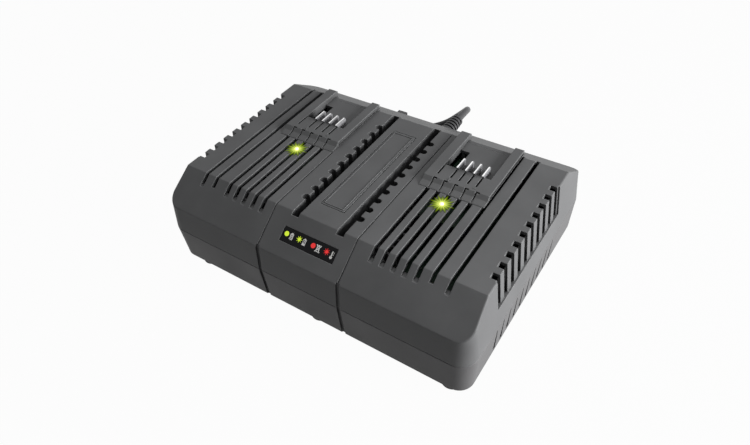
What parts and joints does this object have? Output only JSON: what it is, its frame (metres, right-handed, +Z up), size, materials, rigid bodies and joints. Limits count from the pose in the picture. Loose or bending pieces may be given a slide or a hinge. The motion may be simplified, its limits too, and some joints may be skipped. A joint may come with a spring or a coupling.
{
  "type": "power tool battery charger",
  "caption": "Low vented charger casing on rubber feet, with ramped battery docks, contact blades, status window, cooling fan and mains cord",
  "frame": {"origin": "on the table under the middle of the casing", "axes": "X across the two bays, Y from the front slope to the rear wall, Z up"},
  "size_m": [0.2532, 0.2388, 0.0766],
  "materials": {
    "charcoal_plastic": "fine moulded texture, matt",
    "black_plastic": "plain matt moulding",
    "contact_metal": "bright plated blade",
    "circuit_board": "green solder mask",
    "light_guide": "clear, lit yellow-green",
    "display_window": "smooth dark window",
    "ferrite": "dark ferrite",
    "winding_tape": "yellow winding tape",
    "capacitor_sleeve": "shrink sleeve",
    "choke_body": "enamelled copper turns",
    "fuse_glass": "plated caps",
    "heat_sink_metal": "extruded",
    "device_case": "moulded epoxy",
    "cord_rubber": "satin PVC",
    "foot_rubber": "matt",
    "screw_steel": "zinc plated",
    "tie_strap": "hook and loop strap",
    "pin_metal": "bright"
  },
  "bodies": {
    "charger": {"board_screws": "screw_steel", "bottom_housing": "charcoal_plastic", "contact_screws": "screw_steel", "cord_clamp": "black_plastic", "cord_clamp_screws": "screw_steel", "cord_hank": "cord_rubber", "cord_tie": "tie_strap", "fan_frame": "black_plastic", "housing_screws": "screw_steel", "indicator_board": "circuit_board", "input_heat_sink": "heat_sink_metal", "left_bay_light": "light_guide", "left_contact_board": "circuit_board", "left_data_blade": "contact_metal", "left_dock_block": "charcoal_plastic", "left_negative_blade": "contact_metal", "left_positive_blade": "contact_metal", "left_thermal_blade": "contact_metal", "legend_window": "display_window", "line_filter_choke": "choke_body", "main_circuit_board": "circuit_board", "mains_capacitors": "capacitor_sleeve", "mains_cord": "cord_rubber", "mains_fuse": "fuse_glass", "mains_leads": "cord_rubber", "mains_plug": "cord_rubber", "name_plate": "charcoal_plastic", "output_capacitors": "capacitor_sleeve", "output_heat_sink": "heat_sink_metal", "plug_lead": "cord_rubber", "plug_pins": "pin_metal", "power_transistors": "device_case", "right_bay_light": "light_guide", "right_contact_board": "circuit_board", "right_data_blade": "contact_metal", "right_dock_block": "charcoal_plastic", "right_negative_blade": "contact_metal", "right_positive_blade": "contact_metal", "right_thermal_blade": "contact_metal", "rubber_feet": "foot_rubber", "status_lights": "light_guide", "strain_relief": "cord_rubber", "top_housing": "charcoal_plastic", "transformer_bobbin": "winding_tape", "transformer_core": "ferrite"},
    "rotor": {"fan_rotor": "black_plastic"}
  },
  "joints": [
    {"name": "fan_spin", "type": "hinge", "parent": "charger", "child": "rotor", "pos_m": [0.1017, 0, 0.0373], "axis": [1, 0, 0], "continuous": true}
  ]
}
